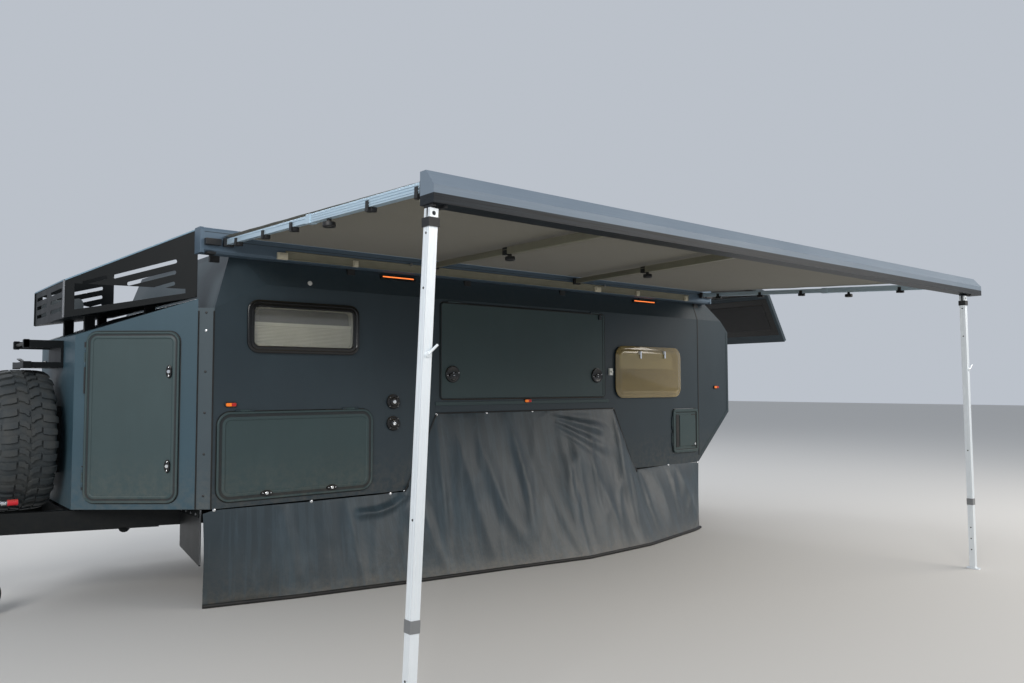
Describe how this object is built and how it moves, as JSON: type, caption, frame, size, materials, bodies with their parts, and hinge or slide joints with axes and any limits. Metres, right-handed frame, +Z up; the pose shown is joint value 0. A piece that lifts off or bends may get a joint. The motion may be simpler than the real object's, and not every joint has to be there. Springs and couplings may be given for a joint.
{
  "type": "off-road camper trailer",
  "caption": "Boxy off-road camper trailer on close-set wheels, with a front storage box, tray and spare wheel, an awning out at the side on legs and the rear hatch raised.",
  "frame": {"origin": "centre of the tow coupling's ball socket", "axes": "+X to the rear, +Y to the trailer's right-hand side, away from the awning, +Z up"},
  "size_m": [8.3585, 4.642, 2.5036],
  "materials": {
    "body_paint": "satin",
    "panel_paint": "satin",
    "box_paint": "satin",
    "frame_black": "satin",
    "alloy": "anodised",
    "alloy_grey": "anodised",
    "steel": "zinc plated",
    "black_plastic": "matt",
    "inner_panel": "matt",
    "acrylic": "tinted",
    "tyre_rubber": "matt",
    "flap_rubber": "matt",
    "awning_cloth": "woven",
    "skirt_cloth": "coated",
    "mattress_cloth": "woven",
    "ply": "sealed",
    "floor_board": "sealed",
    "lamp_lens": "gloss",
    "led_lens": "gloss",
    "solar_cell": "gloss"
  },
  "bodies": {
    "trailer": {"awning_case": "alloy_grey", "awning_fabric": "awning_cloth", "awning_lead_rail": "alloy", "awning_rafters": "alloy", "bed_base": "ply", "cabin_floor": "floor_board", "cabin_front": "body_paint", "cabin_roof": "body_paint", "cabin_wall_far": "body_paint", "cabin_wall_near": "body_paint", "chassis_frame": "frame_black", "drawbar_rails": "frame_black", "galley": "ply", "jack_post": "steel", "led_strips": "led_lens", "marker_lamps": "lamp_lens", "mattress": "mattress_cloth", "mud_flaps": "flap_rubber", "nose_box": "box_paint", "nose_tray": "box_paint", "rear_bar": "frame_black", "rear_cheeks": "body_paint", "roof_vents": "black_plastic", "side_ports": "black_plastic", "side_skirt": "skirt_cloth", "solar_panels": "solar_cell", "spare_carrier": "frame_black", "spare_rim": "frame_black", "spare_tyre": "tyre_rubber", "suspension_arms": "frame_black", "suspension_springs": "flap_rubber", "tow_coupling": "steel", "wheel_arches": "frame_black", "window_frames": "black_plastic", "window_panes": "acrylic"},
    "wheel_front_near": {"tyre_front_near": "tyre_rubber", "rim_front_near": "frame_black"},
    "wheel_front_far": {"tyre_front_far": "tyre_rubber", "rim_front_far": "frame_black"},
    "wheel_rear_near": {"tyre_rear_near": "tyre_rubber", "rim_rear_near": "frame_black"},
    "wheel_rear_far": {"tyre_rear_far": "tyre_rubber", "rim_rear_far": "frame_black"},
    "jack_wheel": {"jockey_wheel": "flap_rubber"},
    "storage_hatch_near": {"storage_hatch_near": "panel_paint"},
    "storage_hatch_far": {"storage_hatch_far": "panel_paint"},
    "kitchen_hatch": {"kitchen_hatch": "panel_paint"},
    "service_hatch": {"service_hatch": "panel_paint"},
    "nose_door_near": {"nose_door_near": "panel_paint"},
    "nose_door_far": {"nose_door_far": "panel_paint"},
    "rear_hatch": {"rear_hatch": "body_paint"},
    "awning_leg_front": {"awning_leg_front": "alloy"},
    "awning_leg_rear": {"awning_leg_rear": "alloy"}
  },
  "joints": [
    {"name": "wheel_front_near_turn", "type": "hinge", "parent": "trailer", "child": "wheel_front_near", "pos_m": [4.03, -0.851, -0.0755], "axis": [0, 1, 0], "continuous": true},
    {"name": "wheel_front_far_turn", "type": "hinge", "parent": "trailer", "child": "wheel_front_far", "pos_m": [4.03, 0.851, -0.0755], "axis": [0, 1, 0], "continuous": true},
    {"name": "wheel_rear_near_turn", "type": "hinge", "parent": "trailer", "child": "wheel_rear_near", "pos_m": [5.03, -0.851, -0.0755], "axis": [0, 1, 0], "continuous": true},
    {"name": "wheel_rear_far_turn", "type": "hinge", "parent": "trailer", "child": "wheel_rear_far", "pos_m": [5.03, 0.851, -0.0755], "axis": [0, 1, 0], "continuous": true},
    {"name": "jack_wheel_turn", "type": "hinge", "parent": "trailer", "child": "jack_wheel", "pos_m": [0.85, -0.335, -0.395], "axis": [0, 1, 0], "continuous": true},
    {"name": "storage_hatch_near_lift", "type": "hinge", "parent": "trailer", "child": "storage_hatch_near", "pos_m": [2.513, -1.0565, 0.67], "axis": [-1, 0, 0], "range_deg": [0, 90]},
    {"name": "storage_hatch_far_lift", "type": "hinge", "parent": "trailer", "child": "storage_hatch_far", "pos_m": [2.513, 1.0565, 0.67], "axis": [1, 0, 0], "range_deg": [0, 90]},
    {"name": "kitchen_hatch_lift", "type": "hinge", "parent": "trailer", "child": "kitchen_hatch", "pos_m": [4.489, -1.0565, 1.449], "axis": [-1, 0, 0], "range_deg": [0, 85]},
    {"name": "service_hatch_swing", "type": "hinge", "parent": "trailer", "child": "service_hatch", "pos_m": [6.262, -1.0565, 0.3915], "axis": [0, 0, -1], "range_deg": [0, 100]},
    {"name": "nose_door_near_swing", "type": "hinge", "parent": "trailer", "child": "nose_door_near", "pos_m": [1.34719, -0.55301, 0.6365], "axis": [0, 0, -1], "range_deg": [0, 100]},
    {"name": "nose_door_far_swing", "type": "hinge", "parent": "trailer", "child": "nose_door_far", "pos_m": [1.34719, 0.55301, 0.6365], "axis": [0, 0, 1], "range_deg": [0, 100]},
    {"name": "rear_hatch_lift", "type": "hinge", "parent": "trailer", "child": "rear_hatch", "pos_m": [6.799, 0, 1.7005], "axis": [0, -1, 0], "range_deg": [-79, 3]},
    {"name": "awning_leg_front_fold", "type": "hinge", "parent": "trailer", "child": "awning_leg_front", "pos_m": [1.863, -3.526, 1.459], "axis": [0, -1, 0], "range_deg": [0, 90]},
    {"name": "awning_leg_rear_fold", "type": "hinge", "parent": "trailer", "child": "awning_leg_rear", "pos_m": [6.6, -3.526, 1.459], "axis": [0, 1, 0], "range_deg": [0, 90]}
  ]
}
